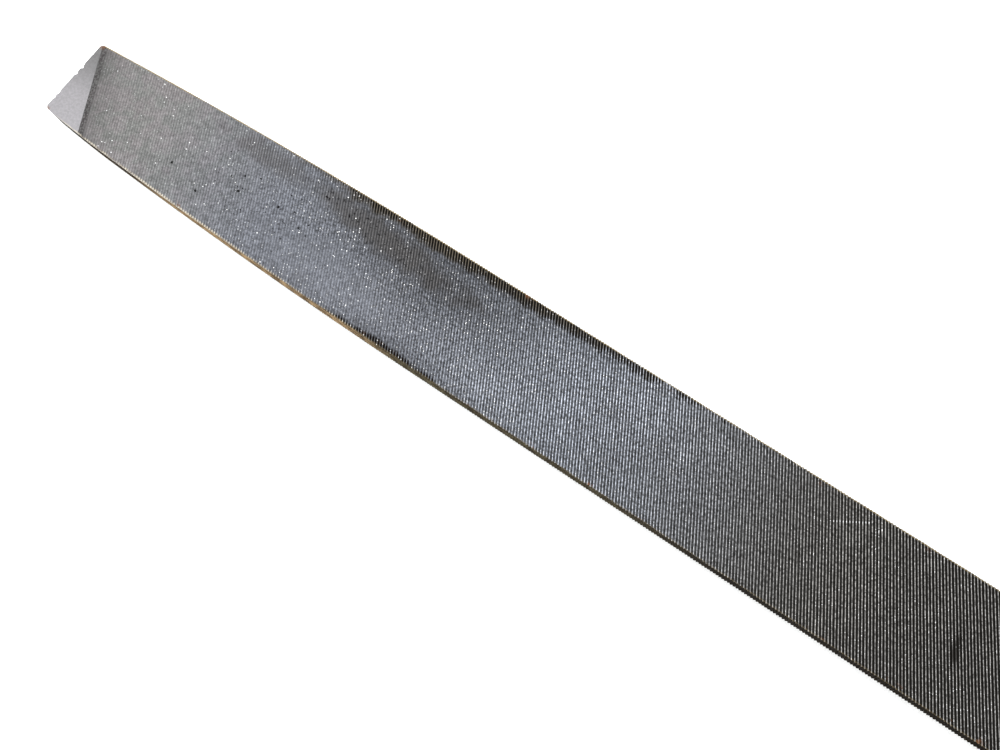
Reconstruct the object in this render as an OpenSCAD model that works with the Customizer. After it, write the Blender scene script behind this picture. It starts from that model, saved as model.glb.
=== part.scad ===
// Flat file: a hardened steel blade with single-cut teeth on both broad faces. Its tapered tang
// is driven into a turned wooden handle, whose nose is held together by a steel ferrule.
// X runs along the tool from the blade's tip to the handle's butt, the broad faces look up and
// down, and the origin is in the middle of the whole tool, on its long axis.

/* [Blade] */
// Length of the blade, from its tip to the root of the tang
blade_l = 254; // [200:1:310]
// Width of the blade where its edges are parallel
blade_w = 25; // [20:0.5:30]
// Thickness of the blade where its faces are parallel
blade_t = 6; // [5:0.1:7.5]
// Length of the front stretch that narrows and thins towards the tip
belly_l = 100; // [60:1:140]
// Width at the tip, as a share of the full width
tip_w_share = 0.76; // [0.6:0.01:0.9]
// Thickness at the tip, as a share of the full thickness
tip_t_share = 0.78; // [0.6:0.01:0.9]
// Bevel that breaks the two corners of the tip
tip_bevel = 1; // [0.4:0.1:2]

/* [Teeth] */
// Distance from tooth to tooth, square to their lines
tooth_pitch = 0.575; // [0.5:0.005:1.2]
// Depth of the gullets between the teeth
tooth_depth = 0.2; // [0.1:0.01:0.3]
// Angle between the tooth lines and the long axis
tooth_angle = 63; // [50:1:80]
// Share of the pitch taken up by a tooth's steep front, which faces the tip
tooth_front = 0.25; // [0.1:0.05:0.5]
// Smooth stretch at the tip, on the centre line
tip_smooth = 5.3; // [3:0.1:10]
// Smooth stretch at the heel, ahead of the curved shoulders
heel_smooth = 16; // [10:1:25]

/* [Tang] */
// Length of the tang
tang_l = 62; // [50:1:75]
// Width at the root of the tang
tang_w = 12.5; // [10:0.1:15]
// Width at the end of the tang
tang_end_w = 4; // [3:0.1:6]
// Thickness at the end of the tang
tang_end_t = 2.6; // [2:0.1:4]

/* [Ferrule] */
// Length of the ferrule
ferrule_l = 16; // [12:0.5:22]
// Wall of the ferrule
ferrule_wall = 0.8; // [0.5:0.1:1.2]
// Bare tang between its root and the ferrule
bare_tang = 9; // [5:0.5:15]
// Wood left between the tang's corners and the ferrule
nose_wood = 2.4; // [1.8:0.1:4]

/* [Handle] */
// Length of the handle, ferrule included
handle_l = 118; // [95:1:140]
// Thickness of the handle at its waist
waist_d = 22; // [18:0.5:25]
// Thickness of the handle at its fullest place
grip_d = 29; // [26:0.5:36]
// Thickness of the handle just ahead of its domed butt
butt_d = 25; // [21:0.5:30]
// Clearance all round between the tang and its socket
socket_fit = 0.05; // [0.02:0.01:0.1]

/* [Hidden] */

$fn = 96;
tool_l = blade_l + bare_tang + handle_l;
belly_steps = 16;

// How far an edge or a face has drawn in at x, given the whole drop at the tip
function belly(x, drop) = x >= belly_l ? 0 : drop * pow((belly_l - x) / belly_l, 2);

edge_drop = blade_w * (1 - tip_w_share) / 2;
face_drop = blade_t * (1 - tip_t_share) / 2;
tip_half_w = blade_w / 2 - edge_drop;
shoulder_r = (blade_w - tang_w) / 2;
cut_end = blade_l - shoulder_r - heel_smooth;

// Half width and half thickness of the tang at x, measured from its root
function tang_half_w(x) = (tang_w + (tang_end_w - tang_w) * x / tang_l) / 2;
function tang_half_t(x) = (blade_t + (tang_end_t - blade_t) * x / tang_l) / 2;

tang_corner_r = norm([tang_half_w(bare_tang), tang_half_t(bare_tang)]);
lip_gap = 0.7;
lip_r = tang_corner_r + lip_gap;
nose_r = tang_corner_r + nose_wood;
ferrule_r = nose_r + ferrule_wall;
ferrule_round = ferrule_wall;
socket_spare = 3;
over = 1;

shoulder_step = 0.8;
butt_round = 9;
waist_at = ferrule_l + 20;
grip_at = 0.7 * handle_l;
butt_at = handle_l - butt_round;
handle_steps = 12;
dome_steps = 8;

// A smooth change from a to b as u goes from 0 to 1
function ease(a, b, u) = a + (b - a) * (1 - cos(180 * u)) / 2;

// The blade's outline seen from above, from its tip to the root of the tang
module blade_plan() {
  edge = [for (i = [1 : belly_steps])
    let (x = belly_l * i / belly_steps) [x, blade_w / 2 - belly(x, edge_drop)]];
  upper = concat([[0, tip_half_w - tip_bevel], [tip_bevel, tip_half_w]], edge, [[blade_l, blade_w / 2]]);
  lower = [for (i = [len(upper) - 1 : -1 : 0]) [upper[i].x, -upper[i].y]];
  difference() {
    polygon(concat(upper, lower));
    for (side = [-1, 1])
      translate([blade_l, side * blade_w / 2])
        circle(r = shoulder_r);
  }
}

// Everything below one toothed face. The face is drawn square to its tooth lines and drawn out
// along them. From the tip to the heel it is smooth, then toothed, then smooth again.
module below_face() {
  lean = sin(tooth_angle);
  first = tip_smooth * lean;
  teeth = floor((cut_end - tip_smooth) * lean / tooth_pitch);
  reach = blade_w * cos(tooth_angle);
  far = blade_l * lean + reach;
  ahead = [for (i = [0 : 2]) let (p = -reach + (first + reach) * i / 2) [p, face(p)]];
  cut = [for (i = [0 : teeth - 1], rise = [0, 1])
    let (p = first + (i + rise * tooth_front) * tooth_pitch) [p, face(p) - (1 - rise) * tooth_depth]];
  behind = [[first + teeth * tooth_pitch, blade_t / 2], [far, blade_t / 2]];
  function face(p) = blade_t / 2 - belly(p / lean, face_drop);
  rotate([0, 0, 90 - tooth_angle])
    rotate([90, 0, 0])
      linear_extrude(height = 2 * (blade_l + blade_w), center = true)
        polygon(concat([[-reach, -blade_t]], ahead, cut, behind, [[far, -blade_t]]));
}

// A bar with the tang's taper between two places, x0 and x1, grown by fit on every side
module tang_bar(x0, x1, fit) {
  intersection() {
    linear_extrude(height = 2 * blade_t, center = true)
      tang_section(x0, x1, tang_half_w(x0) + fit, tang_half_w(x1) + fit);
    rotate([90, 0, 0])
      linear_extrude(height = 2 * tang_w, center = true)
        tang_section(x0, x1, tang_half_t(x0) + fit, tang_half_t(x1) + fit);
  }
}

module tang_section(x0, x1, half0, half1) {
  polygon([[x0, -half0], [x1, -half1], [x1, half1], [x0, half0]]);
}

// One forging: the blade with its toothed faces, its smooth heel and the tang
module blade() {
  color("dimgray")
    translate([-tool_l / 2, 0, 0]) {
      intersection() {
        linear_extrude(height = 2 * blade_t, center = true) blade_plan();
        below_face();
        rotate([180, 0, 0]) below_face();
      }
      translate([blade_l, 0, 0]) tang_bar(0, tang_l, 0);
    }
}

// A drawn steel cup on the handle's nose, open at the front for the tang
module ferrule() {
  color("silver")
    at_handle()
      rotate_extrude()
        difference() {
          union() {
            square([ferrule_r - ferrule_round, ferrule_l]);
            translate([0, ferrule_round]) square([ferrule_r, ferrule_l - ferrule_round]);
            translate([ferrule_r - ferrule_round, ferrule_round]) circle(r = ferrule_round);
          }
          translate([0, ferrule_wall]) square([nose_r, ferrule_l]);
          square([lip_r, ferrule_l]);
        }
}

// Puts a shape that stands on the ferrule's front, along Z, at its place along the tool
module at_handle() {
  translate([blade_l + bare_tang - tool_l / 2, 0, 0])
    rotate([0, 90, 0])
      children();
}

// Half of the handle's outline, standing on its nose
module handle_plan() {
  waist = [for (i = [0 : handle_steps]) let (u = i / handle_steps)
    [ease(ferrule_r + shoulder_step, waist_d / 2, u), ferrule_l + (waist_at - ferrule_l) * u]];
  swell = [for (i = [1 : handle_steps]) let (u = i / handle_steps)
    [ease(waist_d / 2, grip_d / 2, u), waist_at + (grip_at - waist_at) * u]];
  back = [for (i = [1 : handle_steps]) let (u = i / handle_steps)
    [ease(grip_d / 2, butt_d / 2, u), grip_at + (butt_at - grip_at) * u]];
  dome = [for (i = [1 : dome_steps]) let (a = 90 * i / dome_steps)
    [butt_d / 2 * cos(a), butt_at + butt_round * sin(a)]];
  nose = [[0, ferrule_wall], [nose_r, ferrule_wall], [nose_r, ferrule_l]];
  polygon(concat(nose, waist, swell, back, dome));
}

// Turned wood, with a socket of the tang's own taper
module handle() {
  color("burlywood")
    difference() {
      at_handle() rotate_extrude() handle_plan();
      translate([blade_l - tool_l / 2, 0, 0])
        tang_bar(bare_tang - over, tang_l + socket_spare, socket_fit);
    }
}

blade();
ferrule();
handle();
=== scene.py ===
import math
import random

import bmesh
import bpy
from mathutils import Matrix, Vector


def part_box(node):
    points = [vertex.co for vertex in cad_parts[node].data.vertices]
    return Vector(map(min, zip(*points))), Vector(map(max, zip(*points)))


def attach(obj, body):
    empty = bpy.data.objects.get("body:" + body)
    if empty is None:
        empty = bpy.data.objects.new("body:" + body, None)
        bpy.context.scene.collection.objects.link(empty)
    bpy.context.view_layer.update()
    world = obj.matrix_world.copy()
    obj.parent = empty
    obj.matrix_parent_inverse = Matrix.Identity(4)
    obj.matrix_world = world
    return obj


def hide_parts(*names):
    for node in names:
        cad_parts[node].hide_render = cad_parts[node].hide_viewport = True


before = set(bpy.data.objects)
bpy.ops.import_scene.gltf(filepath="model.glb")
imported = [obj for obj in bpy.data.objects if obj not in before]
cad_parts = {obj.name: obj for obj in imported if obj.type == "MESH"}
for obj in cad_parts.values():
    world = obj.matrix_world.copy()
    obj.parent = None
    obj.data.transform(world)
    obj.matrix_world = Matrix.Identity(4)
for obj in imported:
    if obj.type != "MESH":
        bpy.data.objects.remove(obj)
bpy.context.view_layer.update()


# ---------------------------------------------------------------------------------------------
# The view and the light: a close, high view of the blade's front part, under a broad soft lamp,
# a weaker one to the side and a pale sky. The tool lies on a table top, on its tip and its handle.

SENSOR_WIDTH = 36
FOCAL_LENGTH = 27
CAMERA_PLACE = (-0.05408, -0.03069, 0.14262)
CAMERA_TURNS = (13.79, 1.33, 34.02)
scene = bpy.context.scene
scene.view_settings.view_transform = "Standard"

camera_lens = bpy.data.cameras.new("camera")
camera_lens.sensor_width = SENSOR_WIDTH
camera_lens.lens = FOCAL_LENGTH
camera_lens.clip_start = 0.01
camera = bpy.data.objects.new("camera", camera_lens)
camera.location = CAMERA_PLACE
camera.rotation_euler = [math.radians(turn) for turn in CAMERA_TURNS]
scene.collection.objects.link(camera)
scene.camera = camera


def lamp(name, place, aim, size, power, tint):
    """A soft rectangular lamp at a place, turned to face another."""
    light = bpy.data.lights.new(name, "AREA")
    light.shape = "RECTANGLE"
    light.size, light.size_y = size
    light.energy = power
    light.color = tint
    holder = bpy.data.objects.new(name, light)
    holder.location = place
    away = holder.location - Vector(aim)
    holder.rotation_euler = away.to_track_quat("Z", "Y").to_euler()
    scene.collection.objects.link(holder)


lamp("overhead_lamp", place=(0.1, 0.25, 1.0), aim=(-0.02, 0, 0), size=(1.8, 1.4), power=15,
     tint=(1, 0.98, 0.95))
lamp("window_lamp", place=(-0.8, -0.3, 0.6), aim=(-0.05, 0, 0), size=(0.8, 0.8), power=3,
     tint=(0.86, 0.93, 1))

sky = bpy.data.worlds.new("sky")
sky.use_nodes = True
glow = sky.node_tree.nodes["Background"]
glow.inputs["Color"].default_value = (0.96, 0.98, 1, 1)
glow.inputs["Strength"].default_value = 1.03
scene.world = sky


def mm(value):
    """Millimetres as metres."""
    return value / 1000


blade_low, blade_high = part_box("blade")
grip_low, grip_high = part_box("handle")
tip_x = blade_low[0]
TIP_THICKNESS = mm(4.68)
GRIP_TO_FULLEST = mm(81.8)
TABLE_GAP = mm(0.2)
TABLE_HALF = 12
rest_x = grip_low[0] + GRIP_TO_FULLEST
table_slope = (grip_low[2] + TIP_THICKNESS / 2) / (rest_x - tip_x)


def table_height(x):
    """Height of the table top, which touches the tip and the fullest part of the handle."""
    return -TIP_THICKNESS / 2 - TABLE_GAP + table_slope * (x - tip_x)


table_corners = [(-TABLE_HALF, -TABLE_HALF), (TABLE_HALF, -TABLE_HALF),
                 (TABLE_HALF, TABLE_HALF), (-TABLE_HALF, TABLE_HALF)]
table_mesh = bpy.data.meshes.new("table_top")
table_mesh.from_pydata([(x, y, table_height(x)) for x, y in table_corners], [], [(0, 1, 2, 3)])
table_top = bpy.data.objects.new("table_top", table_mesh)
scene.collection.objects.link(table_top)
pale = bpy.data.materials.new("pale_table")
pale.use_nodes = True
table_surface = pale.node_tree.nodes["Principled BSDF"]
table_surface.inputs["Base Color"].default_value = (0.86, 0.86, 0.85, 1)
table_surface.inputs["Roughness"].default_value = 0.9
table_surface.inputs["Emission Color"].default_value = (1, 1, 0.98, 1)
table_surface.inputs["Emission Strength"].default_value = 0.3
table_mesh.materials.append(pale)


# ---------------------------------------------------------------------------------------------
# Blade: one forging of hardened tool steel, from its tip to the end of its tang. The blank is
# ground to shape, then a chisel raises the teeth, row after row, on both faces and both edges.

BLADE_LENGTH = mm(254)
BELLY_LENGTH = mm(100)
TIP_WIDTH = mm(19)
TIP_CORNER = mm(1.1)
WORN_CORNER = mm(0.5)
WORN_ALONG = mm(18)
TIP_EDGE = mm(0.25)
ARRIS = mm(0.1)
TANG_WIDTH = mm(12.5)
TANG_END_WIDTH = mm(4)
TANG_END_THICKNESS = mm(2.6)
TANG_ARRIS = mm(0.7)
HEEL_SMOOTH = mm(16)
half_w = blade_high[1]
half_t = blade_high[2]
tang_length = blade_high[0] - tip_x - BLADE_LENGTH
shoulder = half_w - TANG_WIDTH / 2
edge_drop = half_w - TIP_WIDTH / 2
face_drop = half_t - TIP_THICKNESS / 2
CUT_END = BLADE_LENGTH - shoulder - HEEL_SMOOTH
PITCH = mm(0.575)
DEPTH = mm(0.2)
FACE_LEAN = math.radians(63)
EDGE_LEAN = math.radians(72)
FIRST_TOOTH = mm(5.3)
FIRST_EDGE_TOOTH = mm(3)
CREST_LAND = 0.04
CUTTING_FRONT = 0.25
TIP_WEAR = 0.45
WORN_SKIN = mm(0.01)
# Each stain has a place along and across, a half length and half width, and a lean.
EDGE_GRIME = (mm(97), mm(12.4)), (mm(50), mm(2.5)), 0
LOW_GRIME = (mm(91), mm(-12.5)), (mm(15), mm(1.4)), 0
SMUDGE = (mm(80), mm(6.3)), (mm(26), mm(3.7)), -0.09
SMEAR = (mm(50), mm(8)), (mm(14), mm(3)), -0.05
LATE_SPOT = (mm(207.9), mm(-0.8)), (mm(1.1), mm(2.6)), -1.9
CALM_PATCH = (mm(74), mm(-6)), (mm(24), mm(7)), 0
PITTED_PATCH = (mm(52), 0), (mm(24), mm(9)), 0
# The stretch of the lower edge where the painted glints gather.
LOW_GLINT_EDGE = (mm(95), mm(-11.6)), (mm(65), mm(1.3)), 0
PIT_SIZE = (mm(0.4), mm(0.4))
# The deep pits' places along and across, and the tip's chips: a place across and a size.
PITS = [(mm(31.8), mm(-4.1)), (mm(40.2), mm(-6.5)), (mm(47.7), mm(-1.6)), (mm(57), mm(0.1))]
TIP_CHIPS = [(mm(2.9), mm(0.95)), (mm(0.9), mm(0.8)), (mm(-4.6), mm(0.75)), (mm(-6.1), mm(0.55)),
             (mm(6.6), mm(0.4)), (mm(-1.7), mm(0.35))]


def belly(along, drop):
    """How far an edge or a face has drawn in, at a distance along from the tip."""
    return drop * max(0, 1 - along / BELLY_LENGTH) ** 2


def rounded(along, radius):
    """How far a rounded corner has cut in, at a distance from the end that it rounds."""
    return radius - math.sqrt(max(0, radius ** 2 - max(0, radius - along) ** 2))


def tang_halves(out):
    """The tang's half width and half thickness, at a distance out from its root."""
    share = out / tang_length
    return ((TANG_WIDTH + (TANG_END_WIDTH - TANG_WIDTH) * share) / 2,
            half_t + (TANG_END_THICKNESS / 2 - half_t) * share)


def blank_ring(along, wide, thick, arris):
    """The corners of the blank's section at a distance along, from half sizes. The corner at
    the tip that has seen the most use is drawn in a little further."""
    ring = []
    worn = WORN_CORNER * max(0, 1 - along / WORN_ALONG) ** 2
    for corner in range(4):
        side_y = 1 if corner in (0, 3) else -1
        side_z = 1 if corner in (0, 1) else -1
        drawn_in = worn if side_y < 0 else 0
        for step in range(4):
            turn = math.radians(90 * corner + 30 * step)
            ring.append((tip_x + along,
                         side_y * (wide - arris) + arris * math.cos(turn) + drawn_in,
                         side_z * (thick - arris) + arris * math.sin(turn)))
    return ring


rings = []
front_steps = [TIP_CORNER * (1 - math.cos(math.radians(turn))) for turn in range(0, 91, 10)]
belly_steps = [TIP_CORNER + (BELLY_LENGTH - TIP_CORNER) * step / 40 for step in range(1, 41)]
for along in front_steps + belly_steps:
    wide = half_w - belly(along, edge_drop) - rounded(along, TIP_CORNER)
    thick = half_t - belly(along, face_drop) - rounded(along, TIP_EDGE)
    rings.append(blank_ring(along, wide, thick, ARRIS))
for turn in range(0, 91, 9):
    along = BLADE_LENGTH - shoulder * math.cos(math.radians(turn))
    wide = half_w - shoulder * math.sin(math.radians(turn))
    rings.append(blank_ring(along, wide, half_t, ARRIS + (TANG_ARRIS - ARRIS) * turn / 90))
tang_steps = [tang_length * step / 8 for step in range(1, 8)]
end_steps = [tang_length - TANG_ARRIS * math.cos(math.radians(turn)) for turn in range(0, 81, 20)]
for out in tang_steps[:-1] + end_steps + [tang_length]:
    end_round = rounded(tang_length - out, TANG_ARRIS) * 0.9
    wide, thick = [half - end_round for half in tang_halves(out)]
    rings.append(blank_ring(BLADE_LENGTH + out, wide, thick, min(TANG_ARRIS, thick * 0.9)))


def loft(name, rings, hoop=False):
    """A closed mesh object through rings that all have the same number of points. Its ends are
    capped, or, for a hoop, the last ring joins the first."""
    count = len(rings[0])
    faces = []
    for row in range(len(rings) if hoop else len(rings) - 1):
        beyond = (row + 1) % len(rings)
        for point in range(count):
            after = (point + 1) % count
            faces.append((row * count + point, row * count + after,
                          beyond * count + after, beyond * count + point))
    if not hoop:
        faces.append(tuple(reversed(range(count))))
        faces.append(tuple(range((len(rings) - 1) * count, len(rings) * count)))
    mesh = bpy.data.meshes.new(name)
    mesh.from_pydata([point for ring in rings for point in ring], [], faces)
    shape = bmesh.new()
    shape.from_mesh(mesh)
    bmesh.ops.recalc_face_normals(shape, faces=shape.faces)
    shape.to_mesh(mesh)
    shape.free()
    piece = bpy.data.objects.new(name, mesh)
    scene.collection.objects.link(piece)
    return piece


class Field:
    """A value in a node tree, which ordinary arithmetic turns into math nodes."""

    def __init__(self, tree, socket):
        self.tree = tree
        self.socket = socket

    def math(self, operation, *others):
        node = self.tree.nodes.new("ShaderNodeMath")
        node.operation = operation
        for slot, value in zip(node.inputs, (self, *others)):
            put(self.tree, slot, value)
        return Field(self.tree, node.outputs[0])

    def __add__(self, other):
        return self.math("ADD", other)

    def __sub__(self, other):
        return self.math("SUBTRACT", other)

    def __rsub__(self, other):
        return self.math("MULTIPLY", -1).math("ADD", other)

    def __mul__(self, other):
        return self.math("MULTIPLY", other)

    def __truediv__(self, other):
        return self.math("DIVIDE", other)

    __radd__ = __add__
    __rmul__ = __mul__

    def ramp(self, start, end, low=0.0, high=1.0, smooth=True):
        """From low to high as the value goes from start to end."""
        node = self.tree.nodes.new("ShaderNodeMapRange")
        node.interpolation_type = "SMOOTHSTEP" if smooth else "LINEAR"
        for name, value in (("Value", self), ("From Min", start), ("From Max", end),
                            ("To Min", low), ("To Max", high)):
            put(self.tree, node.inputs[name], value)
        return Field(self.tree, node.outputs["Result"])


def put(tree, slot, value):
    """Sets a node's input to a number, or links it to a field."""
    if isinstance(value, Field):
        tree.links.new(value.socket, slot)
    else:
        slot.default_value = value


def pack(tree, x, y, z):
    """A vector from three values."""
    node = tree.nodes.new("ShaderNodeCombineXYZ")
    for slot, value in zip(node.inputs, (x, y, z)):
        put(tree, slot, value)
    return Field(tree, node.outputs[0])


def unpack(tree, vector):
    """The three values of a vector."""
    node = tree.nodes.new("ShaderNodeSeparateXYZ")
    put(tree, node.inputs[0], vector)
    return [Field(tree, output) for output in node.outputs]


def noise(tree, vector, scale, detail=2.0, rough=0.5):
    """Smooth noise between 0 and 1, with scale in waves per unit of the vector."""
    node = tree.nodes.new("ShaderNodeTexNoise")
    for name, value in (("Vector", vector), ("Scale", scale), ("Detail", detail), ("Roughness", rough)):
        put(tree, node.inputs[name], value)
    return Field(tree, node.outputs["Fac"])


def tooth_cutter():
    """The tree that cuts one side's teeth: a comb, as long as the toothed stretch, whose lower
    side is the toothed surface, is taken away from the blank."""
    tree = bpy.data.node_groups.new("raise_teeth", "GeometryNodeTree")
    face = tree.interface
    face.new_socket("Geometry", in_out="OUTPUT", socket_type="NodeSocketGeometry")
    face.new_socket("Geometry", in_out="INPUT", socket_type="NodeSocketGeometry")
    for name in ("Teeth", "Cuts across", "Seed"):
        face.new_socket(name, in_out="INPUT", socket_type="NodeSocketInt")
    for name in ("Pitch", "Depth", "Front", "Land", "Lean", "First", "Reach", "Half height",
                 "Drop", "Belly", "Tip", "Turn", "Worn", "Skin"):
        face.new_socket(name, in_out="INPUT", socket_type="NodeSocketFloat")
    face.new_socket("Steel", in_out="INPUT", socket_type="NodeSocketMaterial")
    start = tree.nodes.new("NodeGroupInput")
    end = tree.nodes.new("NodeGroupOutput")
    given = {socket.name: Field(tree, socket) for socket in start.outputs if socket.name}

    block = tree.nodes.new("GeometryNodeMeshCube")
    put(tree, block.inputs["Vertices X"], given["Teeth"] * 3 + 1)
    put(tree, block.inputs["Vertices Y"], given["Cuts across"] + 1)
    block.inputs["Size"].default_value = (1, 1, 1)
    here = Field(tree, tree.nodes.new("GeometryNodeInputPosition").outputs[0])
    x, y, z = unpack(tree, here)

    column = ((x + 0.5) * given["Teeth"] * 3).math("ROUND")
    tooth = (column / 3 + 0.01).math("FLOOR")
    part = column - tooth * 3
    crest = part.math("GREATER_THAN", 0.5)
    behind = part.math("GREATER_THAN", 1.5)

    across = y * 2 * given["Reach"]
    sine = given["Lean"].math("SINE")
    skew = across / given["Lean"].math("TANGENT")
    rough_along = given["First"] + tooth * given["Pitch"] / sine - skew
    toward_edge = (across.math("ABSOLUTE") / given["Reach"]).ramp(0.6, 0.92)
    worn = rough_along.ramp(0, mm(170), given["Worn"], 1)
    worn = worn + (1 - worn) * toward_edge * rough_along.ramp(mm(30), mm(80)) * 0.8
    uneven = noise(tree, pack(tree, tooth * 0.37, across * 260, given["Seed"]), 1.0, 3.0)
    patchy = noise(tree, pack(tree, rough_along * 40, across * 60, given["Seed"] + 7), 1.0)
    share = (worn * (0.72 + uneven * 0.35 + patchy * 0.25)).math("MAXIMUM", 0.12).math("MINIMUM", 1)

    front_run = given["Front"] * given["Pitch"] * share
    back_run = (0.98 - given["Front"] - given["Land"]) * given["Pitch"] * share
    waver = noise(tree, pack(tree, tooth * 0.9, across * 420, given["Seed"] + 3), 1.0, 3.0) - 0.5
    step = crest * front_run + behind * (given["Pitch"] - back_run - front_run)
    step = step + waver * given["Pitch"] * 0.22 * share
    along = given["First"] + (tooth * given["Pitch"] + step) / sine - skew
    sunk = given["Skin"] + (1 - crest) * given["Depth"] * share
    near_tip = (1 - along / given["Belly"]).math("MAXIMUM", 0)
    surface = given["Half height"] - given["Drop"] * near_tip * near_tip
    above = z.math("GREATER_THAN", 0)
    height = surface - (1 - above) * sunk + above * mm(2)

    shaped = tree.nodes.new("GeometryNodeSetPosition")
    tree.links.new(block.outputs["Mesh"], shaped.inputs["Geometry"])
    put(tree, shaped.inputs["Position"], pack(tree, given["Tip"] + along, across, height))
    turned = tree.nodes.new("GeometryNodeTransform")
    tree.links.new(shaped.outputs[0], turned.inputs["Geometry"])
    put(tree, turned.inputs["Rotation"], pack(tree, given["Turn"], 0, 0))
    cut = tree.nodes.new("GeometryNodeMeshBoolean")
    cut.operation = "DIFFERENCE"
    cut.solver = "MANIFOLD"
    put(tree, cut.inputs["Mesh 1"], given["Geometry"])
    tree.links.new(turned.outputs[0], cut.inputs["Mesh 2"])
    real = tree.nodes.new("GeometryNodeRealizeInstances")
    tree.links.new(cut.outputs["Mesh"], real.inputs[0])
    dressed = tree.nodes.new("GeometryNodeSetMaterial")
    tree.links.new(real.outputs[0], dressed.inputs["Geometry"])
    put(tree, dressed.inputs["Material"], given["Steel"])
    tree.links.new(dressed.outputs[0], end.inputs[0])
    return tree


def add_nodes(piece, tree, **values):
    """Puts a node tree on a piece, with its named inputs set."""
    modifier = piece.modifiers.new(tree.name, "NODES")
    modifier.node_group = tree
    for item in tree.interface.items_tree:
        if item.in_out == "INPUT" and item.name in values:
            modifier[item.identifier] = values[item.name]


def settle(piece, sharp_angle):
    """Turns a piece's modifiers into plain mesh, with edges sharp above an angle."""
    shape = piece.evaluated_get(bpy.context.evaluated_depsgraph_get())
    mesh = bpy.data.meshes.new_from_object(shape)
    piece.modifiers.clear()
    piece.data = mesh
    mesh.shade_smooth()
    mesh.set_sharp_from_angle(angle=math.radians(sharp_angle))
    weigh = piece.modifiers.new("weigh", "WEIGHTED_NORMAL")
    weigh.keep_sharp = True
    shape = piece.evaluated_get(bpy.context.evaluated_depsgraph_get())
    piece.data = bpy.data.meshes.new_from_object(shape)
    piece.modifiers.clear()


def blend(tree, share, first, second):
    """A colour between two others, which are colours or fields."""
    node = tree.nodes.new("ShaderNodeMix")
    node.data_type = "RGBA"
    put(tree, node.inputs["Factor"], share)
    for slot, colour in zip((node.inputs[6], node.inputs[7]), (first, second)):
        put(tree, slot, colour if isinstance(colour, Field) else (*colour, 1))
    return Field(tree, node.outputs[2])


def specks(tree, vector, size, sparse, radius=0.3):
    """Small round specks: one in a few cells of a size has one, given how sparse they are."""
    node = tree.nodes.new("ShaderNodeTexVoronoi")
    put(tree, node.inputs["Vector"], vector)
    put(tree, node.inputs["Scale"], 1 / size)
    distance = Field(tree, node.outputs["Distance"])
    red = unpack(tree, Field(tree, node.outputs["Color"]))[0]
    return distance.ramp(radius, radius * 0.6) * red.math("GREATER_THAN", sparse)


def stain(along, across, ragged, place, size, lean=0):
    """How strongly a stain shows: 1 in the middle of an oval, fading out with a ragged border."""
    out = along - place[0]
    over = across - place[1] - out * lean
    far = (out / size[0]) * (out / size[0]) + (over / size[1]) * (over / size[1])
    return (far.math("SQRT") + (ragged - 0.5) * 1.6).ramp(1.15, 0.35)


def scaled(tree, colour, factor):
    """A colour made lighter or darker by a factor."""
    node = tree.nodes.new("ShaderNodeVectorMath")
    node.operation = "SCALE"
    put(tree, node.inputs[0], colour)
    put(tree, node.inputs["Scale"], factor)
    return Field(tree, node.outputs[0])


def scratch(along, across, start, end, wide):
    """How strongly a straight scratch shows, given its ends; a highlight is painted along it."""
    run = (end[0] - start[0], end[1] - start[1])
    out = along - start[0]
    over = across - start[1]
    share = (out * run[0] + over * run[1]) / (run[0] ** 2 + run[1] ** 2)
    share = share.math("MAXIMUM", 0).math("MINIMUM", 1)
    out = out - share * run[0]
    over = over - share * run[1]
    return (out * out + over * over).math("SQRT").ramp(wide, wide * 0.5)


def finish_of(name):
    """A new material: itself, its tree, its surface and the place on the piece."""
    material = bpy.data.materials.new(name)
    material.use_nodes = True
    tree = material.node_tree
    place = Field(tree, tree.nodes.new("ShaderNodeTexCoord").outputs["Object"])
    return material, tree, tree.nodes["Principled BSDF"], place


def roughen(tree, surface, strength, distance, height):
    """Small bumps on a surface, from a field of heights."""
    bump = tree.nodes.new("ShaderNodeBump")
    bump.inputs["Strength"].default_value = strength
    bump.inputs["Distance"].default_value = distance
    put(tree, bump.inputs["Height"], height)
    tree.links.new(bump.outputs[0], surface.inputs["Normal"])


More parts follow.
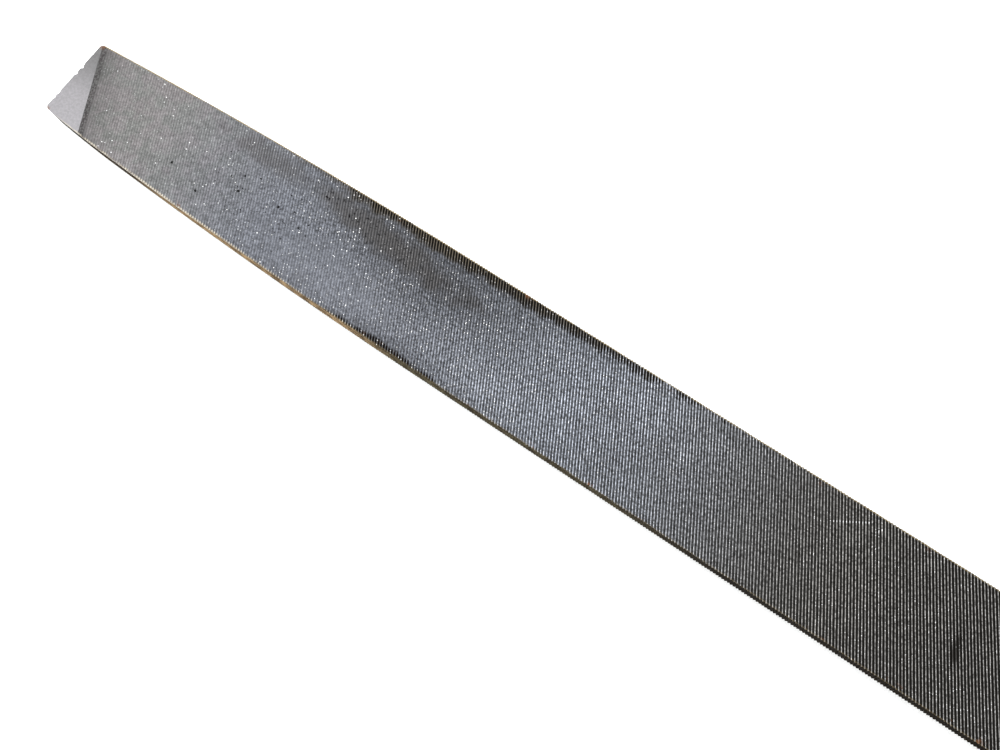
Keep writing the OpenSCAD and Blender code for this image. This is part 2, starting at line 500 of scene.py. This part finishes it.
def file_steel():
    """Worn file steel: grey crests, dark oil and dirt in the gullets, rust and grime on the edges."""
    # Painted light on the steel: glints and arris highlights, and a bluish sheen along the blade's
    # middle.
    material, tree, surface, place = finish_of("file_steel")
    x, y, z = unpack(tree, place)
    above = z.math("GREATER_THAN", 0)
    along = x - tip_x
    near_tip = (1 - along / BELLY_LENGTH).math("MAXIMUM", 0)
    near_tip = near_tip * near_tip
    below_face = (half_t - near_tip * face_drop) - z.math("ABSOLUTE")
    from_edge = (half_w - near_tip * edge_drop) - y.math("ABSOLUTE")
    depth = below_face.math("MINIMUM", from_edge)
    on_side = (below_face - from_edge).ramp(0, mm(0.1)) * along.ramp(mm(0.2), mm(0.5))
    # The lower face carries the same kinds of marks, in other places.
    far = along * above + (BLADE_LENGTH - along) * (1 - above)
    across = y * (above * 2 - 1)

    row = along + across / math.tan(FACE_LEAN)
    broad = noise(tree, place, 45, 3.0, 0.6)
    middling = noise(tree, place, 260, 4.0, 0.65)
    fine = noise(tree, place, 2000, 3.0, 0.7)
    rusty = noise(tree, place, 420, 5.0, 0.7)
    scratches = noise(tree, pack(tree, x * 60, y * 3800, z * 3800), 1.0, 3.0, 0.6)
    streaks = noise(tree, pack(tree, x * 3000, y * 150, z * 150), 1.0, 4.0, 0.65)

    past = row * (1 - on_side) + along * on_side - CUT_END
    before_heel = past.ramp(mm(0.3), mm(-0.3))
    toothed = (row - FIRST_TOOTH).ramp(0, mm(0.3)) * (1 - on_side)
    toothed = (toothed + along.ramp(mm(3), mm(6)) * on_side) * before_heel
    grimy = along.ramp(mm(118), mm(205))
    # The steel's tone along the blade; its bright bluish band over the middle is a painted sheen.
    tip_grey = blend(tree, middling.ramp(0.4, 0.6), (0.206, 0.193, 0.194), (0.192, 0.193, 0.186))
    tone = blend(tree, along.ramp(mm(18), mm(60)), tip_grey, (0.150, 0.157, 0.178))
    tone = blend(tree, along.ramp(mm(88), mm(148)), tone, (0.46, 0.49, 0.555))
    tone = blend(tree, along.ramp(mm(128), mm(185)), tone, (0.29, 0.281, 0.27))
    shade = far.ramp(mm(58), mm(84)) * far.ramp(mm(132), mm(106))
    tone = scaled(tree, tone, 1 + shade * across.ramp(mm(-8), mm(6), 0.12, -0.32))
    calm = stain(far, across, broad, *CALM_PATCH)
    coarse = along.ramp(mm(20), mm(95), 0.22, 0.68) * (1 - calm * 0.45)
    tone = scaled(tree, tone, 1 + (fine.ramp(0.34, 0.66) - 0.45) * 2 * coarse)
    mottled = noise(tree, place, 950, 4.0, 0.75)
    tone = scaled(tree, tone, mottled.ramp(0.35, 0.65, 0.86, 1.13))
    tone = blend(tree, middling.ramp(0.45, 0.85) * 0.3 * (1 - grimy), tone, (0.12, 0.115, 0.115))
    tone = blend(tree, broad.ramp(0.5, 0.8) * 0.12, tone, (0.34, 0.34, 0.35))

    edge_grime = stain(far, across, middling, *EDGE_GRIME)
    smudge = stain(far, across, middling, *SMUDGE)
    smear = stain(far, across, middling, *SMEAR)
    late = stain(far, across, middling, *LATE_SPOT)
    low_grime = stain(far, across, middling, *LOW_GRIME)
    dirt = edge_grime.math("MAXIMUM", smudge * 0.95).math("MAXIMUM", smear * 0.6)
    dirt = dirt.math("MAXIMUM", low_grime).math("MAXIMUM", late)
    contrast = along.ramp(mm(60), mm(140), 0.3, 0.87) + along.ramp(mm(140), mm(200)) * 0.12
    contrast = contrast * (1 - calm * 0.4)
    packed = edge_grime.math("MAXIMUM", low_grime).math("MAXIMUM", late)
    packed = packed + smudge * 0.15 + smear * 0.15
    gullet = depth.ramp(mm(0.012), mm(0.07)) * (contrast + packed * 0.9).math("MINIMUM", 1)
    gullet = gullet * toothed.math("MAXIMUM", 0.4)
    film = dirt * 0.8 * toothed * fine.ramp(0.2, 0.6)
    tone = blend(tree, film, tone, (0.085, 0.078, 0.073))
    tone = blend(tree, edge_grime * 0.6 * toothed, tone, (0.16, 0.13, 0.085))
    tone = blend(tree, late * 0.65, tone, (0.02, 0.018, 0.016))
    tone = blend(tree, gullet, tone, (0.007, 0.006, 0.005))
    gap = (row - FIRST_TOOTH - mm(0.6)).math("ABSOLUTE")
    first_line = gap.ramp(mm(1.5), mm(0.25)) * fine.ramp(0.4, 0.56) * (1 - on_side)
    tone = blend(tree, first_line * 0.85, tone, (0.018, 0.016, 0.016))
    tone = blend(tree, toothed * row.ramp(mm(16), mm(5)) * 0.4, tone, (0.07, 0.065, 0.065))

    smooth_tip = (FIRST_TOOTH - row).math("GREATER_THAN", 0) * (1 - on_side)
    tip_tone = blend(tree, y.ramp(mm(7.5), mm(-5)), (0.175, 0.17, 0.168), (0.295, 0.281, 0.287))
    tip_tone = scaled(tree, tip_tone, fine.ramp(0.3, 0.7, 0.9, 1.1))
    tone = blend(tree, smooth_tip, tone, tip_tone)

    speckled = stain(far, across, middling, *PITTED_PATCH)
    pitted = noise(tree, place, 1300, 2.0, 0.6)
    pits = pitted.ramp(0.36, 0.30) * speckled + pitted.ramp(0.42, 0.34) * smudge * 0.8
    for spot in PITS:
        pits = pits.math("MAXIMUM", stain(far, across, fine, spot, PIT_SIZE))
    pits = pits * (1 - on_side) * toothed
    tone = blend(tree, pits, tone, (0.005, 0.005, 0.005))
    crest = 1 - depth.ramp(mm(0.014), mm(0.05))
    # Glints: white specks painted on the crests as highlights, gathered in clusters, along a stretch of
    # the lower edge and, a few stronger ones, toward the tip.
    cluster = middling.ramp(0.4, 0.62, 0.2, 1)
    glints = specks(tree, place, mm(0.3), along.ramp(mm(55), mm(140), 0.86, 0.5), 0.38)
    low_glints = stain(far, across, middling, *LOW_GLINT_EDGE)
    glints = glints * crest * cluster.math("MAXIMUM", low_glints) * (1 - on_side)
    glints = glints * along.ramp(mm(30), mm(85), 0.25, 1) * (1 - smudge * 0.75)
    strong_glints = specks(tree, place, mm(0.34), 0.985, 0.42) * row.ramp(mm(8), mm(12))
    glints = glints.math("MAXIMUM", strong_glints * (1 - on_side) * along.ramp(mm(110), mm(80)) * 0.8)
    # Two scratches, real marks, whose crests carry a painted highlight.
    scratch_glint = scratch(far, across, (mm(180.1), mm(6.9)), (mm(185.8), mm(10.3)), mm(0.22))
    nick_glint = scratch(far, across, (mm(187.4), mm(9.3)), (mm(188.2), mm(10.5)), mm(0.2))
    glints = glints.math("MAXIMUM", scratch_glint.math("MAXIMUM", nick_glint) * crest * 0.9)
    tone = blend(tree, glints * toothed, tone, (1.0, 1.0, 1.0))

    arris_line = from_edge.ramp(mm(0.36), mm(0.14)) * below_face.ramp(mm(0.4), mm(0.15))
    arris_line = arris_line * rusty.ramp(0.3, 0.5) * across.ramp(mm(-2), mm(2), 0.25, 0.9)
    tone = blend(tree, arris_line, tone, (0.32, 0.245, 0.13))
    # A painted highlight: a light tan line on the crests along the lower arris near the tip.
    lower_arris_highlight = from_edge.ramp(mm(0.5), mm(0.2)) * across.ramp(mm(-3), mm(-6))
    lower_arris_highlight = lower_arris_highlight * middling.ramp(0.38, 0.5) * along.ramp(mm(2), mm(4))
    lower_arris_highlight = lower_arris_highlight * along.ramp(mm(92), mm(80)) * (1 - on_side)
    tone = blend(tree, lower_arris_highlight * crest * 0.75, tone, (0.60, 0.54, 0.44))
    rust = from_edge.ramp(mm(1.5), mm(0.2)) * rusty.ramp(0.58, 0.68) * broad.ramp(0.48, 0.6) * 0.8
    corner = (along - mm(1.0)).ramp(mm(0.5), 0) * from_edge.ramp(mm(1.4), mm(0.3))
    rust = (rust * (1 - smooth_tip)).math("MAXIMUM", corner * 0.8)
    tone = blend(tree, rust, tone, (0.17, 0.075, 0.035))
    side_tone = blend(tree, along.ramp(mm(82), mm(98)), (0.32, 0.22, 0.12), (0.095, 0.08, 0.047))
    side_tone = blend(tree, along.ramp(mm(140), mm(172)), side_tone, (0.005, 0.004, 0.003))
    side_tone = blend(tree, along.ramp(mm(40), mm(22)), side_tone, (0.055, 0.038, 0.026))
    side_tone = blend(tree, rusty.ramp(0.42, 0.6) * 0.7, side_tone, (0.022, 0.014, 0.009))
    side_tone = blend(tree, from_edge.ramp(mm(0.03), mm(0.11)) * 0.8, side_tone, (0.016, 0.012, 0.008))
    side_tone = scaled(tree, side_tone, mottled.ramp(0.35, 0.65, 0.55, 1.35))
    # A painted highlight along the side's arris near the tip, which also keeps that strip metallic.
    shine = below_face.ramp(mm(0.6), mm(0.3)) * along.ramp(mm(70), mm(30)) * fine.ramp(0.7, 0.45)
    side_tone = blend(tree, shine, side_tone, (0.66, 0.64, 0.58))
    tone = blend(tree, on_side * along.ramp(mm(0.8), mm(2)) * before_heel, tone, side_tone)

    heel = past.ramp(mm(-0.4), mm(0.6))
    heel_tone = blend(tree, streaks.ramp(0.3, 0.7), (0.15, 0.145, 0.14), (0.26, 0.255, 0.25))
    heel_tone = blend(tree, broad.ramp(0.45, 0.62) * 0.7, heel_tone, (0.10, 0.075, 0.055))
    tone = blend(tree, heel, tone, heel_tone)
    scale = (along - BLADE_LENGTH).ramp(mm(-9), mm(1))
    scale_tone = blend(tree, middling.ramp(0.35, 0.65), (0.035, 0.036, 0.042), (0.085, 0.08, 0.078))
    scale_tone = blend(tree, rusty.ramp(0.55, 0.7), scale_tone, (0.12, 0.06, 0.03))
    tone = blend(tree, scale, tone, scale_tone)

    put(tree, surface.inputs["Base Color"], tone)
    dull = gullet.math("MAXIMUM", rust).math("MAXIMUM", on_side * toothed * (1 - shine))
    dull = dull.math("MAXIMUM", late * 0.8).math("MAXIMUM", pits)
    put(tree, surface.inputs["Metallic"], 1 - dull * 0.9)
    put(tree, surface.inputs["Specular IOR Level"], 0.5 - dull * 0.48)
    gloss = 0.5 - smooth_tip * 0.12 - glints * 0.2 + middling * 0.1 + scratches * 0.08
    put(tree, surface.inputs["Roughness"], gloss + dull * 0.3)
    roughen(tree, surface, strength=0.5, distance=mm(0.02),
            height=fine + scratches * 0.7 * (1 - toothed) + middling * 0.8)
    return material


blade = loft("file_blade", rings)
steel = file_steel()
chips = bmesh.new()
chance = random.Random(5)
for across, size in TIP_CHIPS:
    middle = Vector((tip_x - size * 0.35, across, TIP_THICKNESS / 2 - size * 0.2))
    ball = bmesh.ops.create_icosphere(chips, subdivisions=2, radius=size,
                                      matrix=Matrix.Translation(middle))
    for point in ball["verts"]:
        point.co = middle + (point.co - middle) * chance.uniform(0.75, 1.15)
chip_mesh = bpy.data.meshes.new("tip_chips")
chips.to_mesh(chip_mesh)
chips.free()
chip_cutter = bpy.data.objects.new("tip_chips", chip_mesh)
scene.collection.objects.link(chip_cutter)
chipping = blade.modifiers.new("chip_the_tip", "BOOLEAN")
chipping.operation = "DIFFERENCE"
chipping.solver = "MANIFOLD"
chipping.object = chip_cutter
teeth_tree = tooth_cutter()
broad_side = (FACE_LEAN, FIRST_TOOTH, half_w, half_t, face_drop, 28)
narrow_side = (EDGE_LEAN, FIRST_EDGE_TOOTH, half_t, half_w, edge_drop, 6)
# The upper and the lower face, then the two edges, by how far each is turned about the long axis.
sides = [(0, broad_side), (math.pi, broad_side),
         (math.pi / 2, narrow_side), (-math.pi / 2, narrow_side)]
for order, (turn, (lean, first, reach, height, drop, cuts)) in enumerate(sides):
    teeth = int((CUT_END - first) * math.sin(lean) / PITCH)
    add_nodes(blade, teeth_tree, **{
        "Teeth": teeth, "Cuts across": cuts, "Seed": 11 + order, "Pitch": PITCH, "Depth": DEPTH,
        "Front": CUTTING_FRONT, "Land": CREST_LAND, "Lean": lean, "First": first,
        "Reach": reach + mm(0.5), "Half height": height, "Drop": drop, "Belly": BELLY_LENGTH,
        "Tip": tip_x, "Turn": turn, "Worn": TIP_WEAR, "Skin": WORN_SKIN, "Steel": steel})
settle(blade, 18)
bpy.data.objects.remove(chip_cutter)
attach(blade, "blade")
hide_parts("blade")


# ---------------------------------------------------------------------------------------------
# Ferrule: a cup of thin steel, spun and plated, that holds the wooden nose together. It is
# pressed on and held by three punched dimples. It comes off the tang together with the handle.

LIP_RADIUS = mm(6.97)
NOSE_RADIUS = mm(8.67)
CUP_CORNER = mm(1.1)
CUP_WALL = mm(0.8)
RIM = mm(0.25)
GROOVES = [mm(3.6), mm(5.2)]
GROOVE_DEPTH = mm(0.22)
GROOVE_HALF = mm(0.5)
DIMPLES = 3
DIMPLE_AT = mm(12.2)
DIMPLE_RADIUS = mm(1.5)
DIMPLE_DEPTH = mm(0.4)
cup_low, cup_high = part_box("ferrule")
cup_x = cup_low[0]
cup_length = cup_high[0] - cup_x
cup_radius = cup_high[1]


def arc(middle_x, middle_r, radius, start, end, steps):
    """Points (x, radius) along an arc, from one angle to another in degrees."""
    turns = [math.radians(start + (end - start) * step / steps) for step in range(steps + 1)]
    return [(middle_x + radius * math.cos(turn), middle_r + radius * math.sin(turn))
            for turn in turns]


def circle_ring(x, radius, count):
    """A ring of points around the tool's axis."""
    turns = [2 * math.pi * point / count for point in range(count)]
    return [(x, radius * math.cos(turn), radius * math.sin(turn)) for turn in turns]


def groove(x, places, half, deep):
    """How deep rolled or turned grooves are at a place."""
    return max(deep * math.cos(min(1, abs(x - place) / half) * math.pi / 2) ** 2 for place in places)


wall_steps = [CUP_CORNER + (cup_length - RIM - CUP_CORNER) * step / 56 for step in range(1, 56)]
outline = arc(RIM, LIP_RADIUS + RIM, RIM, 270, 180, 5)
outline += arc(CUP_CORNER, cup_radius - CUP_CORNER, CUP_CORNER, 180, 90, 10)
outline += [(x, cup_radius - groove(x, GROOVES, GROOVE_HALF, GROOVE_DEPTH)) for x in wall_steps]
outline += arc(cup_length - RIM, cup_radius - RIM, RIM, 90, 0, 5)
outline += [(cup_length, NOSE_RADIUS + mm(0.02)), (CUP_WALL + RIM, NOSE_RADIUS + mm(0.02)),
            (CUP_WALL, NOSE_RADIUS - RIM), (CUP_WALL, LIP_RADIUS)]
cup = loft("ferrule_cup", [circle_ring(cup_x + x, radius, 256) for x, radius in outline], hoop=True)
for point in cup.data.vertices:
    out = math.hypot(point.co.y, point.co.z)
    if out > NOSE_RADIUS + mm(0.3):
        turn = math.degrees(math.atan2(point.co.z, point.co.y)) % (360 / DIMPLES) - 180 / DIMPLES
        away = math.hypot(point.co.x - cup_x - DIMPLE_AT, math.radians(turn) * out)
        sink = DIMPLE_DEPTH * math.exp(-((away / DIMPLE_RADIUS) * 1.6) ** 2)
        point.co.y *= (out - sink) / out
        point.co.z *= (out - sink) / out


def plated_steel():
    """Thin plated steel, spun bright, now dull, scratched around and rusting at its rims."""
    material, tree, surface, place = finish_of("plated_steel")
    x, y, z = unpack(tree, place)
    sunk = cup_radius - (y * y + z * z).math("SQRT")
    spun = noise(tree, pack(tree, x * 5200, y * 90, z * 90), 1.0, 3.0, 0.6)
    scuffs = noise(tree, pack(tree, x * 380, y * 1500, z * 260), 1.0, 4.0, 0.7)
    broad = noise(tree, place, 120, 3.0, 0.6)
    rusty = noise(tree, place, 700, 5.0, 0.72)
    from_rim = (cup_x + cup_length - x).math("MINIMUM", x - cup_x)
    tone = blend(tree, spun.ramp(0.3, 0.7), (0.36, 0.345, 0.32), (0.5, 0.485, 0.455))
    tone = blend(tree, broad.ramp(0.4, 0.75) * 0.5, tone, (0.25, 0.23, 0.20))
    tone = blend(tree, scuffs.ramp(0.6, 0.72) * 0.6, tone, (0.62, 0.6, 0.57))
    grime = sunk.ramp(mm(0.06), mm(0.22)) * 0.75
    tone = blend(tree, grime, tone, (0.05, 0.04, 0.03))
    rust = rusty.ramp(0.56, 0.66) * from_rim.ramp(mm(3), 0, 0.25, 1)
    rust = rust.math("MAXIMUM", rusty.ramp(0.45, 0.6) * from_rim.ramp(mm(0.7), mm(0.2)) * 0.9)
    rust = rust * sunk.ramp(mm(2), mm(0.9), 0.4, 1)
    tone = blend(tree, rust, tone, (0.13, 0.055, 0.022))
    put(tree, surface.inputs["Base Color"], tone)
    put(tree, surface.inputs["Metallic"], 1 - rust.math("MAXIMUM", grime) * 0.85)
    put(tree, surface.inputs["Roughness"], 0.33 + broad * 0.15 + rust * 0.4 + grime * 0.3)
    roughen(tree, surface, strength=0.35, distance=mm(0.03),
            height=spun * 0.6 + scuffs * 0.3 + rust * 0.9)
    return material


cup.data.materials.append(plated_steel())
settle(cup, 35)
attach(cup, "handle")
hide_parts("ferrule")


# ---------------------------------------------------------------------------------------------
# Handle: one piece of beech, turned, varnished, and worn by the hand. Its socket has the tang's
# own taper, so that it is driven on and its friction holds it. It pulls off along the tool.

SHOULDER_STEP = mm(0.8)
SHOULDER_ROUND = mm(0.5)
WAIST_AT = mm(36)
WAIST_RADIUS = mm(11)
FULLEST_AT = mm(82.6)
BUTT_ROUND = mm(9)
BUTT_RADIUS = mm(12.5)
TURNED_LINES = [mm(21.5), mm(23.5), mm(104)]
LINE_DEPTH = mm(0.3)
LINE_HALF = mm(0.45)
CENTRE_RADIUS = mm(1.2)
CENTRE_DEPTH = mm(1.6)
SOCKET_ROOM = mm(0.12)
SOCKET_ARRIS = mm(0.3)
MOUTH_ROOM = mm(0.35)
MOUTH_AT = mm(9.8)
MOUTH_LENGTH = mm(1.7)
DENTS = 26
handle_length = grip_high[0] - cup_x
BUTT_AT = handle_length - BUTT_ROUND


def eased(start, end, share):
    """From start to end along half a wave."""
    return start + (end - start) * (1 - math.cos(math.pi * share)) / 2


def handle_radius(x):
    """The turned outline, at a distance from the ferrule's front."""
    if x < WAIST_AT:
        share = (x - cup_length) / (WAIST_AT - cup_length)
        radius = eased(cup_radius + SHOULDER_STEP, WAIST_RADIUS, share)
    elif x < FULLEST_AT:
        radius = eased(WAIST_RADIUS, grip_high[1], (x - WAIST_AT) / (FULLEST_AT - WAIST_AT))
    else:
        radius = eased(grip_high[1], BUTT_RADIUS, (x - FULLEST_AT) / (BUTT_AT - FULLEST_AT))
    return radius - groove(x, TURNED_LINES, LINE_HALF, LINE_DEPTH)


BODY_STEPS = 230
body_start = cup_length + SHOULDER_ROUND
body_run = BUTT_AT - body_start
body_places = [body_start + body_run * step / BODY_STEPS for step in range(1, BODY_STEPS)]
outline = [(CUP_WALL + mm(0.3), NOSE_RADIUS * step / 8) for step in range(4, 8)]
outline += [(CUP_WALL + mm(0.3), NOSE_RADIUS - mm(0.3)), (CUP_WALL + mm(0.6), NOSE_RADIUS - mm(0.02)),
            (cup_length + mm(0.03), NOSE_RADIUS - mm(0.02))]
outline += arc(body_start + mm(0.03), cup_radius + SHOULDER_STEP - SHOULDER_ROUND,
               SHOULDER_ROUND, 180, 90, 5)
outline += [(x, handle_radius(x)) for x in body_places]
outline += [(BUTT_AT + BUTT_ROUND * math.sin(turn), BUTT_RADIUS * math.cos(turn))
            for turn in [math.radians(step * 3) for step in range(28)]]
outline += [(handle_length - mm(0.1), CENTRE_RADIUS), (handle_length - mm(0.4), CENTRE_RADIUS * 0.8),
            (handle_length - CENTRE_DEPTH, CENTRE_RADIUS * 0.3)]
grip = loft("beech_handle", [circle_ring(cup_x + x, radius, 144) for x, radius in outline])

chance = random.Random(8)
dents = []
for _ in range(DENTS):
    place = cup_x + chance.uniform(mm(24), handle_length - mm(1))
    dents.append((place, chance.uniform(-math.pi, math.pi), chance.uniform(mm(0.9), mm(3)),
                  chance.uniform(mm(0.08), mm(0.3))))
for point in grip.data.vertices:
    out = math.hypot(point.co.y, point.co.z)
    if point.co.x - cup_x < cup_length + mm(0.6) or out < CENTRE_RADIUS * 1.5:
        continue
    turn = math.atan2(point.co.z, point.co.y)
    sink = mm(0.06) * (1 + math.sin(turn * 2 + point.co.x * 40))
    for place, at, size, deep in dents:
        apart = math.remainder(turn - at, 2 * math.pi) * out
        away = math.hypot((point.co.x - place) / size, apart / size)
        if away < 3:
            sink += deep * math.exp(-away ** 2)
    point.co.y *= (out - sink) / out
    point.co.z *= (out - sink) / out

socket_rings = []
for out in (mm(8), mm(9.5), mm(9.9), mm(11.5), mm(30), tang_length + mm(3)):
    into_mouth = min(1, max(0, 1 - (out - MOUTH_AT) / MOUTH_LENGTH))
    room = SOCKET_ROOM + MOUTH_ROOM * into_mouth ** 2
    wide, thick = [half + room for half in tang_halves(out)]
    socket_rings.append(blank_ring(BLADE_LENGTH + out, wide, thick, SOCKET_ARRIS))
socket_cutter = loft("tang_socket", socket_rings)
boring = grip.modifiers.new("bore_the_socket", "BOOLEAN")
boring.operation = "DIFFERENCE"
boring.solver = "MANIFOLD"
boring.object = socket_cutter


def worn_beech():
    """Beech under thin varnish: growth rings, short dark flecks, hand grease, scuffs, end grain."""
    material, tree, surface, place = finish_of("worn_beech")
    x, y, z = unpack(tree, place)
    out = (y * y + z * z).math("SQRT")
    broad = noise(tree, pack(tree, x * 22, y * 60, z * 60), 1.0, 3.0, 0.55)
    middling = noise(tree, place, 210, 4.0, 0.6)
    fibre = noise(tree, pack(tree, x * 55, y * 2100, z * 2100), 1.0, 4.0, 0.65)
    from_heart_y = y + x * 0.05 + mm(31)
    from_heart_z = z - x * 0.03 - mm(17)
    from_heart = (from_heart_y * from_heart_y + from_heart_z * from_heart_z).math("SQRT")
    growth = ((from_heart + (broad - 0.5) * mm(2.4)) / mm(2.3)).math("FRACT")
    late_wood = growth.ramp(0.55, 0.93) * growth.ramp(1.0, 0.94)
    fleck = noise(tree, pack(tree, x * 420, y * 3300, z * 3300), 1.0, 1.0, 0.5)
    tone = blend(tree, late_wood * 0.75, (0.235, 0.118, 0.047), (0.13, 0.058, 0.021))
    tone = blend(tree, fibre.ramp(0.3, 0.75) * 0.55, tone, (0.17, 0.082, 0.033))
    tone = blend(tree, fleck.ramp(0.64, 0.72) * 0.75, tone, (0.13, 0.058, 0.022))
    tone = blend(tree, broad.ramp(0.45, 0.8) * 0.3, tone, (0.29, 0.155, 0.066))
    from_front = x - cup_x
    greasy = from_front.ramp(mm(34), mm(60)) * from_front.ramp(mm(112), mm(92))
    greasy = greasy * middling.ramp(0.2, 0.75)
    tone = blend(tree, greasy * 0.42, tone, (0.07, 0.035, 0.017))
    outline_dirt = from_front.ramp(mm(19), cup_length) * middling.ramp(0.25, 0.55)
    lines = None
    for at in TURNED_LINES:
        line = (from_front - at).math("ABSOLUTE").ramp(LINE_HALF, LINE_HALF * 0.3)
        lines = line if lines is None else lines.math("MAXIMUM", line)
    tone = blend(tree, outline_dirt.math("MAXIMUM", lines) * 0.75, tone, (0.045, 0.024, 0.013))
    bare = middling.ramp(0.56, 0.68) * from_front.ramp(mm(100), mm(113))
    bare = bare.math("MAXIMUM", middling.ramp(0.68, 0.74) * 0.8)
    tone = blend(tree, bare * 0.8, tone, (0.31, 0.20, 0.11))
    marks = noise(tree, pack(tree, x * 900, y * 420, z * 420), 1.0, 2.0, 0.7)
    tone = blend(tree, marks.ramp(0.70, 0.76) * 0.7, tone, (0.06, 0.03, 0.016))
    inside = from_front.ramp(mm(1.6), mm(1.3))
    burnt_y = y.math("ABSOLUTE") - (TANG_WIDTH / 2 - mm(0.6))
    burnt_z = z.math("ABSOLUTE") - half_t
    near_tang = burnt_y.math("MAXIMUM", burnt_z).ramp(mm(1.6), mm(0.2))
    tone = blend(tree, inside * 0.6, tone, (0.09, 0.05, 0.026))
    tone = blend(tree, inside * near_tang * 0.9, tone, (0.012, 0.008, 0.006))
    hollow = out.ramp(CENTRE_RADIUS, CENTRE_RADIUS * 0.6) * from_front.ramp(mm(110), mm(113))
    tone = blend(tree, hollow * 0.8, tone, (0.035, 0.02, 0.012))
    put(tree, surface.inputs["Base Color"], tone)
    rough = 0.42 + middling * 0.14 + bare * 0.25 + inside * 0.3 - greasy * 0.08
    put(tree, surface.inputs["Roughness"], rough)
    put(tree, surface.inputs["Coat Weight"], (0.16 - bare * 0.16 - inside * 0.16).math("MAXIMUM", 0))
    surface.inputs["Coat Roughness"].default_value = 0.28
    surface.inputs["Specular IOR Level"].default_value = 0.32
    roughen(tree, surface, strength=0.4, distance=mm(0.05),
            height=fibre * 0.5 - fleck.ramp(0.64, 0.72) * 0.5 + middling * 0.8)
    return material


beech = worn_beech()
grip.data.materials.append(beech)
socket_cutter.data.materials.append(beech)
settle(grip, 35)
bpy.data.objects.remove(socket_cutter)
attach(grip, "handle")
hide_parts("handle")
